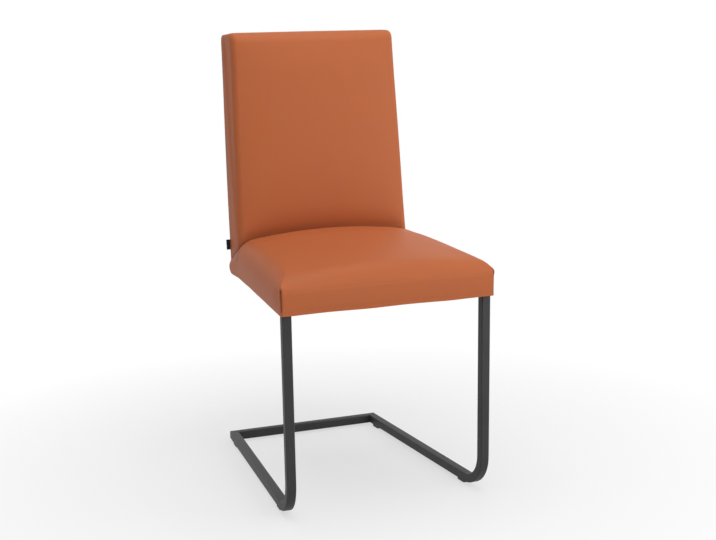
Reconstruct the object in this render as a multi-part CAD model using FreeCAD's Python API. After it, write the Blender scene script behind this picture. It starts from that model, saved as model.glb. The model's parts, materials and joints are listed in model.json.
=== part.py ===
import FreeCAD, Part
import math
import os

V = FreeCAD.Vector

# Millimetres. X runs across the chair, the chair faces -Y, Z is up and the floor is at 0.
# While the pieces are drawn, Y starts at the outer front corner of the legs.

# Square steel tube
tube = 19.0
tube_wall = 2.0
tube_corner = 2.5
bend_radius = 75.0

# Cantilever frame, over the outside of the tubes
frame_front_width = 442.0
frame_rear_width = 366.0
frame_length = 557.0

# Floor glides, pushed into holes in the underside of the runners
glide_height = 5.0
glide_length = 30.0
glide_width = 16.0
glide_cut_corner = 4.0
glide_chamfer = 1.2
glide_pin = 7.6
glide_pin_length = 13.0
glide_hole = 8.0
front_glide_place = 92.0
rear_glide_margin = 42.0

# Seat, as a leather-covered box round the steel ring. A crown is the height of the middle line
# and a rise is how far the crown stands above the sides. They are given at the front edge, at
# the end of the front rounding, on the way to the back, at the back and on the fall behind it.
seat_underside = 424.0
seat_side_cover = 3.5
seat_overhang = 5.5
seat_rear = 456.0
seat_bulge = 4.0
seat_front_bulge = 0.3
seat_face_bulge = 2.0
seat_bulge_height = 30.0
seat_front_rounding = 37.0
seat_edge_crown = 470.0
seat_edge_rise = 4.0
seat_front_crown = 509.0
seat_front_rise = 43.0
seat_quarter_crown = 515.5
seat_quarter_rise = 46.0
seat_half_crown = 520.5
seat_half_rise = 47.0
seat_high_crown = 524.0
seat_high_rise = 48.5
seat_contact_crown = 522.0
seat_contact_rise = 50.0
seat_fall_crown = 492.0
seat_fall_rise = 46.0
seat_rear_crown = 462.0
seat_rear_rise = 11.0
seat_edge_corner = 3.0
seat_front_corner = 32.0
seat_corner_share = 0.78
seat_fall_share = 0.65
seat_rise_ease = 0.6

# Back, leaning on two steel uprights
back_front = 364.0
back_pivot_height = seat_contact_crown
back_lean = 6.0
back_thickness = 84.0
back_height = 426.5
back_foot = 62.0
back_contact_top = 12.0
back_side_step = 4.3
back_narrowing = 22.0
back_corner = 13.0
back_crown = 5.0
back_top_crown = 1.5
back_top_rounding = 26.0
back_top_corner = 7.0

# Upholstery layers
leather = 1.4
layer_gap = 0.3
seat_contact_gap = 1.4
seat_foam_cover = 16.0
seat_foam_chamfer = 25.0
back_foam_cover = 12.0
back_foam_chamfer = 9.0
hem_width = 32.0
dust_cover = 0.8
dust_cover_margin = 22.0
leg_hole_gap = 0.4

# Steel ring inside the seat and its corner plates
rear_padding = 8.0
corner_plate = 48.0
corner_plate_thickness = 3.0
corner_bolt_place = 15.0
plate_hole = 6.6

# Uprights for the back
upright_thickness = 8.0
upright_depth = 30.0
upright_side_cover = 2.4
upright_centre = 56.0
upright_top = 250.0
slot_gap = 0.6

# Plywood seat frame, battens and webbing
seat_ply = 15.0
seat_ply_rail = 58.0
batten_width = 22.0
batten_end_gap = 4.0
strap_width = 50.0
strap_thickness = 1.5
strap_slope = 10.0
strap_end_margin = 18.0
long_strap_count = 4
long_strap_gap = 26.0
cross_strap_count = 3
cross_strap_gap = 55.0

# Wooden frame inside the back
stile_width = 32.0
back_rail_height = 45.0
back_frame_front = 36.0
back_frame_depth = 40.0
lumbar_rail_depth = 22.0
lumbar_rail_centre = 165.0
back_frame_foot = 2.0
back_frame_top_gap = 9.0
back_panel = 4.0
back_rear_board = 3.0
tenon_thickness = 8.0
tenon_width = 25.0
tenon_length = 36.0
tenon_gap = 0.2

# Fasteners: hexagon bolts and square nuts
bolt = 6.0
bolt_head = 10.0
bolt_head_height = 4.0
bolt_length = 17.0
nut_side = 10.0
nut_height = 5.0
nut_bore = 6.6
nut_pocket = 10.6
bolt_hole = 7.0
upright_bolt_length = 46.0
upright_low_bolt = 90.0
upright_high_bolt = 225.0

# Bare textile tab in the rear seam of the back
tab_height = 22.0
tab_sewn = 6.0
tab_free = 9.0
tab_thickness = 1.2
tab_foot = -35.0

# Sizes that follow from the ones above
half_front = frame_front_width / 2
half_rear = frame_rear_width / 2
taper = math.atan2(half_front - half_rear, frame_length)
rear_glide_place = frame_length - rear_glide_margin
seat_front_width = frame_front_width + 2 * seat_side_cover
back_foot_width = seat_front_width - 2 * (back_front * math.tan(taper) + back_side_step)
back_top_width = back_foot_width - back_narrowing
lean = math.radians(back_lean)
ring_bottom = seat_underside + leather
ring_top = ring_bottom + tube
ring_rear = seat_rear - rear_padding
ply_top = ring_top + seat_ply
seat_front = -seat_overhang - seat_face_bulge
upright_reach = 3 * back_foot
upright_outer = back_top_width / 2 - upright_side_cover
runner_reach = frame_length / math.cos(taper)
ring_reach = ring_rear / math.cos(taper)
back_frame_rear = back_frame_front + back_frame_depth
back_frame_top = back_height - back_frame_top_gap
stile_outer = upright_outer - upright_thickness
stile_inner = stile_outer - stile_width
wadding_inset = leather + layer_gap
long_strap_pitch = strap_width + long_strap_gap
cross_strap_pitch = strap_width + cross_strap_gap
strap_field = (long_strap_count - 1) / 2 * long_strap_pitch + strap_width / 2
cross_strap_first = (ring_rear - (cross_strap_count - 1) * cross_strap_pitch) / 2

# Cuts run past the faces they open by overcut, and the largest blocks by REACH.
overcut = 1.0
REACH = 2000.0

# Straight edges that stand for each arc of a plain section, and the points that part them
PLAIN_EDGES = 3
PLAIN_POINTS = PLAIN_EDGES + 1

# The origin goes to the middle of the chair's depth, on the floor.
depth_centre = (frame_length + seat_front) / 2


def box(low, high):
    """Box between two opposite corners."""
    return Part.makeBox(high[0] - low[0], high[1] - low[1], high[2] - low[2], V(*low))


def cylinder(radius, length, foot, axis):
    """Cylinder standing on foot and pointing along axis."""
    return Part.makeCylinder(radius, length, V(*foot), V(*axis))


def beyond(point, normal):
    """Large block that fills everything on the normal's side of a plane."""
    block = Part.makeBox(REACH, REACH, REACH, V(-REACH / 2, -REACH / 2, 0))
    block.Placement = FreeCAD.Placement(V(*point), FreeCAD.Rotation(V(0, 0, 1), V(*normal)))
    return block


def prism(points, bottom, top):
    """Upright prism over a closed outline of plan points."""
    corners = [V(x, y, bottom) for x, y in points]
    return Part.Face(Part.makePolygon(corners + corners[:1])).extrude(V(0, 0, top - bottom))


def mirrored(shape):
    """The same piece on the other side of the chair."""
    return shape.mirror(V(0, 0, 0), V(1, 0, 0))


def rounded_square(size, corner, place):
    """Wire of a square with eased corners, centred on 0,0 and set out by place(s, t)."""
    half = size / 2
    flat = half - corner
    bow = flat + corner * math.sqrt(0.5)
    edges = []
    for quarter in range(4):
        turn = quarter * math.pi / 2
        c, s = math.cos(turn), math.sin(turn)

        def spot(a, b, c=c, s=s):
            return place(a * c - b * s, a * s + b * c)

        edges.append(Part.LineSegment(spot(half, -flat), spot(half, flat)).toShape())
        edges.append(Part.LineSegment(spot(half, flat), spot(bow, bow)).toShape())
        edges.append(Part.LineSegment(spot(bow, bow), spot(flat, half)).toShape())
    return Part.Wire(edges)


def tube_section(place):
    """Face of the hollow square tube, sharp inside."""
    half = tube / 2 - tube_wall
    corners = [(half, half), (-half, half), (-half, -half), (half, -half), (half, half)]
    inner = Part.Face(Part.makePolygon([place(s, t) for s, t in corners]))
    outer = Part.Face(rounded_square(tube, tube_corner, place))
    return outer.cut(inner).Faces[0]


# Side frames are drawn in their own upright plane: X along the runner, Y inwards from the
# outer face, Z up. on_side turns and moves them to the right of the chair.

def on_side(shape):
    """Move a piece from the side frame's own axes to the right side of the chair."""
    placed = shape.copy()
    turn = FreeCAD.Rotation(V(0, 0, 1), 90 + math.degrees(taper))
    placed.Placement = FreeCAD.Placement(V(half_front, 0, 0), turn).multiply(placed.Placement)
    return placed


def side_point(along, inward):
    """Plan point of the right side frame, from its own axes."""
    x = half_front - along * math.sin(taper) - inward * math.cos(taper)
    y = along * math.cos(taper) - inward * math.sin(taper)
    return x, y


def mitre(rear):
    """Plane through the rear corner where a side tube meets a cross tube ending at rear."""
    outer = side_point(rear / math.cos(taper), 0)
    inner_along = (rear - tube + tube * math.sin(taper)) / math.cos(taper)
    inner = side_point(inner_along, tube)
    run = V(outer[0] - inner[0], outer[1] - inner[1], 0)
    return (outer[0], outer[1], 0), (-run.y, run.x, 0)


def side_tube():
    """Leg, front bend and floor runner as one bent tube, mitred at both ends."""
    middle = tube / 2
    low = glide_height + middle
    runner = tube_section(lambda s, t: V(bend_radius, middle + s, low + t))
    straight = runner.extrude(V(runner_reach + tube - bend_radius, 0, 0))
    bend_centre = V(bend_radius, 0, glide_height + bend_radius)
    bend = runner.revolve(bend_centre, V(0, 1, 0), 90)
    leg_foot = glide_height + bend_radius
    leg_face = tube_section(lambda s, t: V(middle + t, middle + s, leg_foot))
    leg = leg_face.extrude(V(0, 0, ring_top - leg_foot))
    leg = leg.cut(beyond((0, 0, ring_top), (1, 0, 1)))
    whole = straight.fuse([bend, leg]).removeSplitter()
    for place in (front_glide_place, rear_glide_place):
        hole = cylinder(glide_hole / 2, middle, (place, middle, glide_height - overcut), (0, 0, 1))
        whole = whole.cut(hole)
    point, normal = mitre(frame_length)
    return on_side(whole).cut(beyond(point, normal))


def side_rail():
    """Rail of the seat ring, from the top of the leg to the rear mitre."""
    middle = tube / 2
    face = tube_section(lambda s, t: V(0, middle + s, ring_bottom + middle + t))
    rail = face.extrude(V(ring_reach + tube, 0, 0))
    rail = rail.cut(beyond((0, 0, ring_top), (-1, 0, -1)))
    point, normal = mitre(ring_rear)
    return on_side(rail).cut(beyond(point, normal))


def cross_tube(rear, bottom):
    """Tube across the chair, with its rear face at rear and both ends mitred."""
    middle = tube / 2
    face = tube_section(lambda s, t: V(-half_front, rear - middle + s, bottom + middle + t))
    bar = face.extrude(V(2 * half_front, 0, 0))
    point, normal = mitre(rear)
    outside = beyond(point, (-normal[0], -normal[1], 0))
    return bar.cut([outside, mirrored(outside)])


def front_rail():
    """Front rail of the seat ring, butted against the inner faces of the side rails."""
    middle = tube / 2
    face = tube_section(lambda s, t: V(-half_front, middle + s, ring_bottom + middle + t))
    bar = face.extrude(V(2 * half_front, 0, 0))
    inner = side_point(0, tube)
    outside = beyond((inner[0], inner[1], 0), (math.cos(taper), math.sin(taper), 0))
    return bar.cut([outside, mirrored(outside)])


def glide(place):
    """Moulded glide with cut corners, and a pin that the hole in the tube grips."""
    half_length = glide_length / 2
    half_width = glide_width / 2
    foot = box((-half_length, -half_width, 0), (half_length, half_width, glide_height))
    uprights = [e for e in foot.Edges if abs(e.tangentAt(e.FirstParameter).z) > 0.99]
    foot = foot.makeChamfer(glide_cut_corner, uprights)
    rim = [e for e in foot.Edges if e.BoundBox.ZMax < 0.01]
    foot = foot.makeChamfer(glide_chamfer, rim)
    pin = cylinder(glide_pin / 2, glide_pin_length, (0, 0, glide_height), (0, 0, 1))
    piece = foot.fuse(pin).removeSplitter()
    piece.translate(V(place, tube / 2, 0))
    return on_side(piece)


def crown_edges(half, rise, corner, place, plain):
    """Right corner, crown and left corner of a cushion's section, as three tangent arcs.

    They run from (half, 0) over (0, rise) to (-half, 0), upright at both ends. A plain section
    has short straight edges inside the arcs.
    """
    crown = (half ** 2 + rise ** 2 - 2 * half * corner) / (2 * (rise - corner))
    turn = math.atan2(half - corner, crown - rise)
    joint = (crown * math.sin(turn), rise - crown * (1 - math.cos(turn)))
    bow_turn = (turn + math.pi / 2) / 2
    bow = (half - corner + corner * math.sin(bow_turn), corner * math.cos(bow_turn))
    right = Part.Arc(place(half, 0), place(*bow), place(*joint)).toShape()
    top = Part.Arc(place(*joint), place(0, rise), place(-joint[0], joint[1])).toShape()
    left = Part.Arc(place(-joint[0], joint[1]), place(-bow[0], bow[1]), place(-half, 0)).toShape()
    if not plain:
        return [right, top, left]
    points = right.discretize(PLAIN_POINTS)
    points += top.discretize(PLAIN_POINTS)[1:]
    points += left.discretize(PLAIN_POINTS)[1:]
    return [Part.LineSegment(start, end).toShape() for start, end in zip(points, points[1:])]


def seat_half(y):
    """Half width of the seat's bottom edge at depth y."""
    return seat_front_width / 2 - (y + seat_overhang) * math.tan(taper)


def seat_section(y, crown, rise, corner, bulge, inset, bottom, plain):
    """Outline across the seat at depth y, from the bottom edge over the crown."""
    foot = seat_half(y) - inset
    wide = foot + bulge
    corner -= inset * seat_corner_share
    side = crown - rise
    waist = (bottom + side) / 2
    waist_x = wide - bulge / 4
    right = Part.Arc(V(foot, y, bottom), V(waist_x, y, waist), V(wide, y, side))
    left = Part.Arc(V(-wide, y, side), V(-waist_x, y, waist), V(-foot, y, bottom))
    if plain:
        right = Part.LineSegment(V(foot, y, bottom), V(wide, y, side))
        left = Part.LineSegment(V(-wide, y, side), V(-foot, y, bottom))
    edges = [Part.LineSegment(V(-foot, y, bottom), V(foot, y, bottom)).toShape()]
    edges.append(right.toShape())
    edges += crown_edges(wide, rise - inset, corner, lambda s, t: V(s, y, side + t), plain)
    edges.append(left.toShape())
    return Part.Wire(edges)


def front_cut(inset, bottom):
    """Block that draws the seat's front face back towards its bottom edge."""
    face_y = seat_front + inset
    foot = V(0, face_y + seat_face_bulge, bottom)
    waist = V(0, face_y + seat_face_bulge / 4, bottom + seat_bulge_height / 2)
    top = V(0, face_y - seat_face_bulge / 4, bottom + seat_bulge_height)
    outer_top = V(0, face_y - tube, bottom + seat_bulge_height)
    outer_foot = V(0, face_y - tube, bottom - tube)
    inner_foot = V(0, face_y + seat_face_bulge, bottom - tube)
    edges = [
        Part.Arc(foot, waist, top).toShape(),
        Part.LineSegment(top, outer_top).toShape(),
        Part.LineSegment(outer_top, outer_foot).toShape(),
        Part.LineSegment(outer_foot, inner_foot).toShape(),
        Part.LineSegment(inner_foot, foot).toShape(),
    ]
    block = Part.Face(Part.Wire(edges)).extrude(V(seat_front_width + 2 * tube, 0, 0))
    block.translate(V(-seat_front_width / 2 - tube, 0, 0))
    return block


def seat_form(inset, bottom, plain=False):
    """The seat's soft body, drawn in by inset: rounded front, crown, and fall under the back."""
    rounding = seat_front_rounding - inset
    rounded = seat_front + seat_front_rounding
    sections = []
    for degrees in (0, 30, 60, 90):
        turn = math.radians(degrees)
        back = 1 - math.cos(turn)
        y = seat_front + inset + rounding * back
        crown = seat_edge_crown + (seat_front_crown - inset - seat_edge_crown) * math.sin(turn)
        rise = seat_edge_rise + (seat_front_rise - seat_edge_rise) * back ** seat_rise_ease
        rise += inset * (1 - back)
        corner = seat_edge_corner + (seat_front_corner - seat_edge_corner) * back
        corner += inset * (1 - back)
        bulge = seat_front_bulge + (seat_bulge - seat_front_bulge) * back
        sections.append((y, crown, rise, corner, bulge))
    for share, crown, rise in ((0.25, seat_quarter_crown, seat_quarter_rise),
                               (0.5, seat_half_crown, seat_half_rise),
                               (0.75, seat_high_crown, seat_high_rise),
                               (1.0, seat_contact_crown, seat_contact_rise)):
        y = rounded + (back_front - rounded) * share
        sections.append((y, crown - inset, rise, rise * seat_corner_share, seat_bulge))
    falling = back_front + (seat_rear - back_front) * seat_fall_share
    sections.append((falling, seat_fall_crown - inset, seat_fall_rise,
                     seat_fall_rise * seat_corner_share, seat_bulge))
    sections.append((seat_rear - inset, seat_rear_crown - inset, seat_rear_rise,
                     seat_rear_rise * seat_corner_share, seat_bulge))
    wires = [seat_section(*section, inset, bottom, plain) for section in sections]
    return Part.makeLoft(wires, True, True).cut(front_cut(inset, bottom))


def ring_plan(margin, front, rear):
    """Plan corners of a tapered panel from front to rear, inside the steel's sides by margin."""
    edge = margin / math.cos(taper)
    at_front = half_front - front * math.tan(taper) - edge
    at_rear = half_front - rear * math.tan(taper) - edge
    return [(-at_front, front), (at_front, front), (at_rear, rear), (-at_rear, rear)]


# The back is drawn upright: Y from its front face to the rear, Z up from the height where
# the seat meets it. lean_back tilts it and moves it to the seat.

def lean_back(shape):
    """Tilt and move a piece of the back to its place."""
    placed = shape.copy()
    tilt = FreeCAD.Rotation(V(1, 0, 0), -back_lean)
    move = FreeCAD.Placement(V(0, back_front, back_pivot_height), tilt)
    placed.Placement = move.multiply(placed.Placement)
    return placed


def back_half(z):
    """Half width of the back at height z of its own axes."""
    share = (z + back_foot) / (back_height + back_foot)
    return (back_foot_width + (back_top_width - back_foot_width) * share) / 2


def back_section(z, front, crown, narrow, inset, plain):
    """Outline of the back at height z: flat rear, straight sides, round corners and a crown."""
    half = back_half(z) - narrow - inset
    rear = back_thickness - inset
    corner = back_corner - inset / 2
    rise = corner + crown
    side = front + inset + rise
    edges = [
        Part.LineSegment(V(-half, rear, z), V(half, rear, z)).toShape(),
        Part.LineSegment(V(half, rear, z), V(half, side, z)).toShape(),
    ]
    edges += crown_edges(half, rise, corner, lambda s, t: V(s, side - t, z), plain)
    edges.append(Part.LineSegment(V(-half, side, z), V(-half, rear, z)).toShape())
    return Part.Wire(edges)


def back_form(inset, plain=False):
    """The back's soft body, drawn in by inset, with a rounded top edge at the front."""
    rounding = back_top_rounding - inset
    shoulder = back_height - back_top_rounding
    wires = [back_section(-back_foot, 0, back_crown, 0, inset, plain),
             back_section(back_contact_top, 0, back_crown, 0, inset, plain)]
    for degrees in (0, 30, 60, 90):
        turn = math.radians(degrees)
        z = shoulder + rounding * math.sin(turn)
        front = rounding * (1 - math.cos(turn))
        crown = back_crown - (back_crown - back_top_crown) * math.sin(turn)
        narrow = back_top_corner * (1 - math.cos(turn)) ** 2
        wires.append(back_section(z, front, crown, narrow, inset, plain))
    return Part.makeLoft(wires, True, True)


def upright(gap):
    """Flat steel upright on the right seat rail, or the slot for it where gap isn't 0."""
    front = upright_centre - upright_depth / 2 - gap
    rear = upright_centre + upright_depth / 2 + gap
    inner = upright_outer - upright_thickness - gap
    bar = box((inner, front, -upright_reach), (upright_outer + gap, rear, upright_top + gap))
    return lean_back(bar).cut(beyond((0, 0, ring_top), (0, 0, -1)))


def cross_drill(diameter, start, end, place, height):
    """Drill across the back from x = start to x = end, at depth place and a given height."""
    return lean_back(cylinder(diameter / 2, end - start, (start, place, height), (1, 0, 0)))


def bolt_shape(length):
    """Hexagon bolt pointing up, seated at 0."""
    corners = []
    for k in range(7):
        turn = math.radians(60 * k)
        reach = bolt_head / math.sqrt(3)
        corners.append(V(reach * math.cos(turn), reach * math.sin(turn), -bolt_head_height))
    head = Part.Face(Part.makePolygon(corners)).extrude(V(0, 0, bolt_head_height))
    return head.fuse(cylinder(bolt / 2, length, (0, 0, 0), (0, 0, 1))).removeSplitter()


def nut_shape():
    """Square nut standing on 0."""
    half = nut_side / 2
    body = box((-half, -half, 0), (half, half, nut_height))
    return body.cut(cylinder(nut_bore / 2, nut_height, (0, 0, 0), (0, 0, 1)))


def at(shape, place, axis=(0, 0, 1)):
    """Copy of an upright fastener moved to place and turned to point along axis."""
    placed = shape.copy()
    placed.Placement = FreeCAD.Placement(V(*place), FreeCAD.Rotation(V(0, 0, 1), V(*axis)))
    return placed


def both(shape):
    """A right-hand piece and its mirror image as one group."""
    return [shape, mirrored(shape)]


nodes = {}


def add(name, *shapes):
    """Keep a node, made of one solid or a group of them."""
    solids = [solid for shape in shapes for solid in shape.Solids]
    nodes[name] = solids[0] if len(solids) == 1 else Part.makeCompound(solids)


def add_pair(name, shape, order="{side}_{name}"):
    """Keep a right-hand piece and its mirror image as two nodes."""
    add(order.format(side="right", name=name), shape)
    add(order.format(side="left", name=name), mirrored(shape))


# Steel frame
add_pair("side_tube", side_tube())
add("rear_floor_bar", cross_tube(frame_length, glide_height))
add_pair("seat_rail", side_rail())
add("front_seat_rail", front_rail())
add("rear_seat_rail", cross_tube(ring_rear, ring_bottom))
add_pair("glide", glide(front_glide_place), "front_{side}_{name}")
add_pair("glide", glide(rear_glide_place), "rear_{side}_{name}")

# Corner plates, welded into the ring flush with its top
front_corner = V(*side_point(tube * (1 + math.sin(taper)) / math.cos(taper), tube), 0)
rear_corner_along = (ring_rear - tube + tube * math.sin(taper)) / math.cos(taper)
rear_corner = V(*side_point(rear_corner_along, tube), 0)
side_run = V(-math.sin(taper), math.cos(taper), 0)
plates = []
plate_holes = []
bolt_places = []
for corner, run in ((front_corner, side_run), (rear_corner, -side_run)):
    across = corner - V(corner_plate, 0, 0)
    along = corner + run * corner_plate
    outline = [(p.x, p.y) for p in (corner, across, along)]
    plates.append(prism(outline, ring_top - corner_plate_thickness, ring_top))
    centre = corner - V(corner_bolt_place, 0, 0) + run * corner_bolt_place
    bolt_places.append((centre.x, centre.y))
for x, y in bolt_places:
    plate_holes.append(cylinder(plate_hole / 2, tube, (x, y, ring_bottom), (0, 0, 1)))
plates = [plate.cut(plate_holes) for plate in plates]
add("seat_corner_plates", *[solid for plate in plates for solid in both(plate)])

# Bolts up through the corner plates, with nuts let into the top of the plywood
plate_seat = ring_top - corner_plate_thickness
nut_seat = ply_top - nut_height
half_pocket = nut_pocket / 2
seat_bolts = [at(bolt_shape(bolt_length), (x, y, plate_seat)) for x, y in bolt_places]
seat_nuts = [at(nut_shape(), (x, y, nut_seat)) for x, y in bolt_places]
add("seat_bolts", *[solid for piece in seat_bolts for solid in both(piece)])
add("seat_nuts", *[solid for piece in seat_nuts for solid in both(piece)])
nut_holes = []
for x, y in bolt_places:
    nut_holes.append(cylinder(bolt_hole / 2, seat_ply, (x, y, ring_top), (0, 0, 1)))
    nut_holes.append(box((x - half_pocket, y - half_pocket, nut_seat),
                         (x + half_pocket, y + half_pocket, ply_top + overcut)))

# Battens glued under the plywood, inside the ring; the hem is stapled to them
batten_end = corner_plate + batten_end_gap
front_batten_half = front_corner.x - batten_end
rear_batten_half = rear_corner.x - batten_end
front_batten = box((-front_batten_half, tube, ring_bottom),
                   (front_batten_half, tube + batten_width, ring_top))
rear_batten = box((-rear_batten_half, ring_rear - tube - batten_width, ring_bottom),
                  (rear_batten_half, ring_rear - tube, ring_top))
side_batten_start = tube + batten_end
side_batten_end = ring_reach - tube - batten_end
side_batten = on_side(box((side_batten_start, tube, ring_bottom),
                          (side_batten_end, tube + batten_width, ring_top)))
add("front_batten", front_batten)
add("rear_batten", rear_batten)
add_pair("batten", side_batten)

# Plywood seat frame
slots = both(upright(slot_gap))
ply = prism(ring_plan(0, 0, ring_rear), ring_top, ply_top)
opening = prism(ring_plan(seat_ply_rail, seat_ply_rail, ring_rear - seat_ply_rail),
                ring_bottom, ply_top + tube)
nut_holes += [mirrored(hole) for hole in nut_holes]
add("seat_frame", ply.cut([opening] + slots + nut_holes))

# Webbing: long straps on the plywood, cross straps over them
long_straps = []
for k in range(long_strap_count):
    x = (k - (long_strap_count - 1) / 2) * long_strap_pitch
    long_straps.append(box((x - strap_width / 2, strap_end_margin, ply_top),
                           (x + strap_width / 2, ring_rear - strap_end_margin,
                            ply_top + strap_thickness)))
cross_straps = []
for k in range(cross_strap_count):
    y = cross_strap_first + k * cross_strap_pitch
    end = seat_half(y + strap_width / 2) - seat_side_cover - strap_end_margin
    lift = strap_field + strap_thickness
    steps = [(-end, 0), (-lift - strap_slope, 0), (-lift, 1), (lift, 1),
             (lift + strap_slope, 0), (end, 0)]
    low = [V(x, y - strap_width / 2, ply_top + up * strap_thickness) for x, up in steps]
    high = [p + V(0, 0, strap_thickness) for p in reversed(low)]
    profile = Part.Face(Part.makePolygon(low + high + low[:1]))
    cross_straps.append(profile.extrude(V(0, strap_width, 0)))
add("long_straps", *long_straps)
add("cross_straps", *cross_straps)

# Seat upholstery: a foam block with flat faces, and wadding that fills it out to the crown
hem_top = seat_underside + leather
foam_front = seat_front_crown - seat_foam_cover
profile = [(0, ply_top), (0, foam_front - seat_foam_chamfer), (seat_foam_chamfer, foam_front),
           (back_front, seat_contact_crown - seat_foam_cover), (ring_rear - rear_padding, ply_top)]
corners = [V(-half_front, y, z) for y, z in profile]
foam_block = Part.Face(Part.makePolygon(corners + corners[:1])).extrude(V(2 * half_front, 0, 0))
shoulder = (half_front, 0, foam_front - seat_foam_chamfer)
side_trims = [beyond((half_front, 0, 0), (math.cos(taper), math.sin(taper), 0)),
              beyond(shoulder, (math.cos(taper), math.sin(taper), 1))]
foam_block = foam_block.cut([trim for side in side_trims for trim in both(side)])
core_front = -tube * math.sin(taper) - layer_gap
core = prism(ring_plan(-layer_gap, core_front, ring_rear + layer_gap), 0, ply_top)
add("seat_foam", foam_block.cut(long_straps + cross_straps + slots))
padding = seat_form(wadding_inset, hem_top, True)
add("seat_wadding", padding.cut([foam_block, core] + slots))
leg_hole = on_side(box((-leg_hole_gap, -leg_hole_gap, 0),
                       (tube + leg_hole_gap, tube + leg_hole_gap, ring_bottom)))
hem_opening = prism(ring_plan(hem_width, hem_width, ring_rear - hem_width), 0, ring_bottom)
seat_shell = seat_form(0, seat_underside).cut(seat_form(leather, hem_top, True))
add("seat_cover", seat_shell.cut([hem_opening] + both(leg_hole) + slots))
add("seat_dust_cover", prism(ring_plan(dust_cover_margin, dust_cover_margin,
                                       ring_rear - dust_cover_margin),
                             seat_underside - dust_cover, seat_underside))

# Uprights, bolted through the stiles of the back
upright_bolt_places = (upright_low_bolt, upright_high_bolt)
upright_holes = [cross_drill(plate_hole, stile_outer, upright_outer + overcut,
                             upright_centre, height) for height in upright_bolt_places]
add_pair("back_upright", upright(0).cut(upright_holes))
back_bolts = []
back_nuts = []
stile_holes = []
head_space = []
for height in upright_bolt_places:
    seat_point = (upright_outer, upright_centre, height)
    nut_point = (stile_inner, upright_centre, height)
    back_bolts.append(lean_back(at(bolt_shape(upright_bolt_length), seat_point, (-1, 0, 0))))
    back_nuts.append(lean_back(at(nut_shape(), nut_point, (-1, 0, 0))))
    stile_holes.append(cross_drill(bolt_hole, stile_inner - overcut, stile_outer + overcut,
                                   upright_centre, height))
    head_space.append(lean_back(box((upright_outer, upright_centre - bolt_head, height - bolt_head),
                                    (upright_outer + bolt_head_height + layer_gap,
                                     upright_centre + bolt_head, height + bolt_head))))
add("back_bolts", *[solid for piece in back_bolts for solid in both(piece)])
add("back_nuts", *[solid for piece in back_nuts for solid in both(piece)])

# Wooden frame of the back, with the boards glued to its front and rear
rail_spans = {
    "back_bottom_rail": (back_frame_foot, back_frame_foot + back_rail_height, back_frame_depth),
    "back_lumbar_rail": (lumbar_rail_centre - back_rail_height / 2,
                         lumbar_rail_centre + back_rail_height / 2, lumbar_rail_depth),
    "back_top_rail": (back_frame_top - back_rail_height, back_frame_top, back_frame_depth),
}
tenons = []
mortises = []
for low, high, depth in rail_spans.values():
    place = back_frame_front + depth / 2
    middle = (low + high) / 2
    for gap, group in ((0, tenons), (tenon_gap, mortises)):
        reach = tenon_length / 2 + gap
        half_thickness = tenon_thickness / 2 + gap
        half_width = tenon_width / 2 + gap
        group.append(lean_back(box((stile_inner - reach, place - half_thickness,
                                    middle - half_width),
                                   (stile_inner + reach, place + half_thickness,
                                    middle + half_width))))
add("back_tenons", *[solid for piece in tenons for solid in both(piece)])

panel_front = back_frame_front - back_panel
all_mortises = mortises + [mirrored(mortise) for mortise in mortises]
for name, (low, high, depth) in rail_spans.items():
    rail = box((-stile_inner, back_frame_front, low),
               (stile_inner, back_frame_front + depth, high))
    add(name, lean_back(rail).cut(all_mortises))
stile = lean_back(box((stile_inner, back_frame_front, back_frame_foot),
                      (stile_outer, back_frame_rear, back_frame_top)))
add_pair("back_stile", stile.cut(mortises + stile_holes))
add("back_panel", lean_back(box((-stile_outer, panel_front, back_frame_foot),
                                (stile_outer, back_frame_front, back_frame_top))))
board_rear = back_frame_rear + back_rear_board
add("back_rear_board", lean_back(box((-stile_outer, back_frame_rear, back_frame_foot),
                                     (stile_outer, board_rear, back_frame_top))))

# Back upholstery, standing on the seat's sloping rear
seat_below = seat_form(-seat_contact_gap, seat_underside, True)
cavity = lean_back(box((-stile_outer - layer_gap, panel_front, -upright_reach),
                       (stile_outer + layer_gap, board_rear + layer_gap,
                        back_frame_top + layer_gap)))
foam_slab = box((-stile_outer, back_foam_cover, back_frame_foot),
                (stile_outer, panel_front, back_frame_top))
rim = [e for e in foam_slab.Edges if e.BoundBox.YMax < back_foam_cover + overcut
       and e.BoundBox.ZMax > back_frame_foot + overcut]
foam_slab = lean_back(foam_slab.makeChamfer(back_foam_chamfer, rim))
add("back_foam", foam_slab)
heads = head_space + [mirrored(space) for space in head_space]
tab_rear = back_thickness - leather
tab_edge = back_half(tab_foot + tab_height / 2)
tab = lean_back(box((-tab_edge - tab_free, tab_rear - tab_thickness, tab_foot),
                    (-tab_edge + tab_sewn, tab_rear, tab_foot + tab_height)))
padding = lean_back(back_form(wadding_inset, True)).cut([foam_slab, cavity])
add("back_wadding", padding.cut(slots + heads + [seat_below, tab]))
back_shell = lean_back(back_form(0)).cut([lean_back(back_form(leather, True)), seat_below])
rear_plane = lean_back(Part.Vertex(V(0, tab_rear, 0))).Point
rear_normal = (0, math.cos(lean), -math.sin(lean))
front_normal = (0, -math.cos(lean), math.sin(lean))
add("back_cover", back_shell.cut([beyond(rear_plane, rear_normal), tab]))
add("back_rear_cover", back_shell.cut(beyond(rear_plane, front_normal)))
add("label_tab", tab)

os.makedirs("parts", exist_ok=True)
for name, shape in nodes.items():
    placed = shape.copy()
    placed.translate(V(0, -depth_centre, 0))
    placed.exportStep("parts/" + name + ".step")
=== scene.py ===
import json
import logging
import math
from dataclasses import dataclass, field
from enum import Enum
from typing import Callable

import bmesh
import bpy
import numpy as np
from mathutils import Matrix, Vector


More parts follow.
